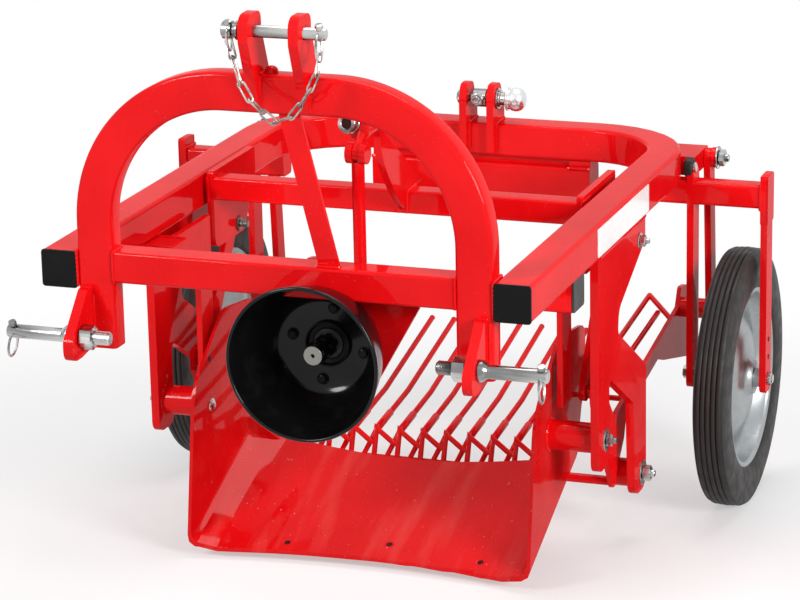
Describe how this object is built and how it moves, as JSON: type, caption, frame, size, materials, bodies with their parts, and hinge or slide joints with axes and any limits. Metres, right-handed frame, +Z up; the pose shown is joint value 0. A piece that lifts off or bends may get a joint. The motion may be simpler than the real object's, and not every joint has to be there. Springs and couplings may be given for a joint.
{
  "type": "potato digger",
  "caption": "Tractor-mounted potato digger: tube frame with hitch arch, guarded drive shaft, bent digging share, shaking bar sieve and two depth wheels.",
  "frame": {"origin": "on the floor under the middle of the machine's box, as it stands on its two wheels and the tip of its share", "axes": "+X to the machine's right seen from behind it, +Y to its rear, away from the tractor, +Z up"},
  "size_m": [1.1166, 1.235, 0.9886],
  "materials": {
    "black_plastic": "smooth black plastic",
    "galvanised": "galvanised sheet",
    "red_paint": "gloss paint",
    "rubber": "black rubber",
    "worn_steel": "bare machined steel",
    "zinc": "bright zinc plate"
  },
  "bodies": {
    "chassis": {"arm_left": "red_paint", "arm_right": "red_paint", "clevis_ear_left": "red_paint", "clevis_ear_right": "red_paint", "front_crossbar": "red_paint", "hanger_bracket_left": "red_paint", "hanger_bracket_right": "red_paint", "hitch_arch": "red_paint", "hitch_lug_left": "red_paint", "hitch_lug_right": "red_paint", "hitch_pin_left": "zinc", "hitch_pin_right": "zinc", "main_frame": "red_paint", "mast_brace": "red_paint", "pto_guard": "black_plastic", "pto_mount_plate": "red_paint", "rail_cap_left": "black_plastic", "rail_cap_right": "black_plastic", "rail_stub_left": "red_paint", "rail_stub_right": "red_paint", "rear_clevis_bolt": "zinc", "rear_cross_member": "red_paint", "rear_ear_left": "red_paint", "rear_ear_right": "red_paint", "share": "red_paint", "top_link_pin": "zinc", "wheel_axle_left": "zinc", "wheel_axle_right": "zinc", "wheel_fork_left": "red_paint", "wheel_fork_right": "red_paint"},
    "wheel_left": {"tyre_left": "rubber", "rim_left": "galvanised"},
    "wheel_right": {"tyre_right": "rubber", "rim_right": "galvanised"},
    "pto_shaft": {"pto_shaft": "worn_steel"},
    "rocker": {"rocker": "red_paint", "rocker_lever": "red_paint"},
    "connecting_rod": {"connecting_rod": "red_paint"},
    "drive_link_left": {"drive_link_left": "red_paint"},
    "drive_link_right": {"drive_link_right": "red_paint"},
    "front_link_left": {"front_link_left": "red_paint"},
    "front_link_right": {"front_link_right": "red_paint"},
    "hanger_left": {"hanger_left": "red_paint"},
    "hanger_right": {"hanger_right": "red_paint"},
    "sieve": {"sieve_bars": "red_paint", "sieve_side_left": "red_paint", "sieve_side_right": "red_paint"}
  },
  "joints": [
    {"name": "wheel_left_spin", "type": "hinge", "parent": "chassis", "child": "wheel_left", "pos_m": [0, 0.38932, 0.22821], "axis": [1, 0, 0], "continuous": true},
    {"name": "wheel_right_spin", "type": "hinge", "parent": "chassis", "child": "wheel_right", "pos_m": [0, 0.38932, 0.22821], "axis": [1, 0, 0], "continuous": true},
    {"name": "pto_spin", "type": "hinge", "parent": "chassis", "child": "pto_shaft", "pos_m": [0.058, -0.53861, 0.46362], "axis": [0, 0.9987, 0.05], "continuous": true},
    {"name": "rocker_pivot", "type": "hinge", "parent": "chassis", "child": "rocker", "pos_m": [0, -0.01449, 0.59448], "axis": [1, 0, 0], "range_deg": [-1.99, 1.99]},
    {"name": "rod_pivot", "type": "hinge", "parent": "rocker", "child": "connecting_rod", "pos_m": [0.02, -0.2509, 0.71682], "axis": [1, 0, 0], "range_deg": [-2.04, 2.04]},
    {"name": "drive_link_left_pivot", "type": "hinge", "parent": "rocker", "child": "drive_link_left", "pos_m": [0, 0.08474, 0.51234], "axis": [1, 0, 0], "range_deg": [-0.96, 0.96]},
    {"name": "front_link_left_pivot", "type": "hinge", "parent": "chassis", "child": "front_link_left", "pos_m": [0, 0.11957, 0.11659], "axis": [1, 0, 0], "range_deg": [-5.29, 5.29]},
    {"name": "hanger_left_pivot", "type": "hinge", "parent": "chassis", "child": "hanger_left", "pos_m": [0, 0.47085, 0.59975], "axis": [1, 0, 0], "range_deg": [-1.41, 1.41]},
    {"name": "drive_link_right_pivot", "type": "hinge", "parent": "rocker", "child": "drive_link_right", "pos_m": [0, 0.08474, 0.51234], "axis": [1, 0, 0], "range_deg": [-0.96, 0.96]},
    {"name": "front_link_right_pivot", "type": "hinge", "parent": "chassis", "child": "front_link_right", "pos_m": [0, 0.11957, 0.11659], "axis": [1, 0, 0], "range_deg": [-5.29, 5.29]},
    {"name": "hanger_right_pivot", "type": "hinge", "parent": "chassis", "child": "hanger_right", "pos_m": [0, 0.47085, 0.59975], "axis": [1, 0, 0], "range_deg": [-1.41, 1.41]},
    {"name": "sieve_pivot", "type": "hinge", "parent": "hanger_left", "child": "sieve", "pos_m": [0, 0.50507, 0.31611], "axis": [1, 0, 0], "range_deg": [-1.45, 1.45]}
  ],
  "couplings": [
    {"joint": "rod_pivot", "follows": "rocker_pivot", "ratio": -1},
    {"joint": "drive_link_left_pivot", "follows": "rocker_pivot", "ratio": -0.46861},
    {"joint": "front_link_left_pivot", "follows": "rocker_pivot", "ratio": -2.6002},
    {"joint": "hanger_left_pivot", "follows": "rocker_pivot", "ratio": 0.69064},
    {"joint": "drive_link_right_pivot", "follows": "rocker_pivot", "ratio": -0.46861},
    {"joint": "front_link_right_pivot", "follows": "rocker_pivot", "ratio": -2.6002},
    {"joint": "hanger_right_pivot", "follows": "rocker_pivot", "ratio": 0.69064},
    {"joint": "sieve_pivot", "follows": "rocker_pivot", "ratio": -0.70798}
  ]
}
